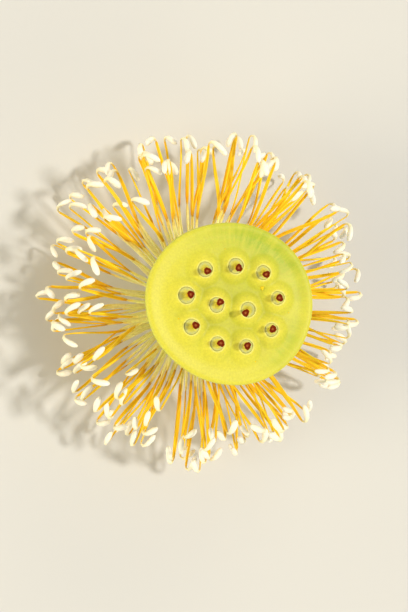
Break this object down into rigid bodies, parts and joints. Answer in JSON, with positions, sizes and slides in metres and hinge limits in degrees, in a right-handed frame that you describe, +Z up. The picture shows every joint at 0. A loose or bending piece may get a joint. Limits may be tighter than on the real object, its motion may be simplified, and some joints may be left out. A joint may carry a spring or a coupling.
{
  "type": "lotus seed pod",
  "caption": "Young lotus seed pod as picked: a cone-shaped receptacle with a flat pitted top, carpels standing in the pits, and a whorl of stamens round its neck, on a short cut stalk.",
  "frame": {"origin": "centre of the stalk's cut face, on which the pod stands", "axes": "+Z up along the pod's axis, from the cut face to the pitted top; +X towards the longer half of the top"},
  "size_m": [0.063, 0.065, 0.0345],
  "materials": {
    "receptacle_skin": "waxy yellow-green plant skin, smooth satin",
    "carpel_skin": "moist pale green ovary with a red-brown stigma, soft sheen",
    "stamen_tissue": "cream filaments, golden powdery anthers and waxy white appendages"
  },
  "bodies": {
    "root": {"receptacle": "receptacle_skin", "stamens": "stamen_tissue", "carpel_01": "carpel_skin", "carpel_02": "carpel_skin", "carpel_03": "carpel_skin", "carpel_04": "carpel_skin", "carpel_05": "carpel_skin", "carpel_06": "carpel_skin", "carpel_07": "carpel_skin", "carpel_08": "carpel_skin", "carpel_09": "carpel_skin", "carpel_10": "carpel_skin", "carpel_11": "carpel_skin"}
  },
  "joints": []
}
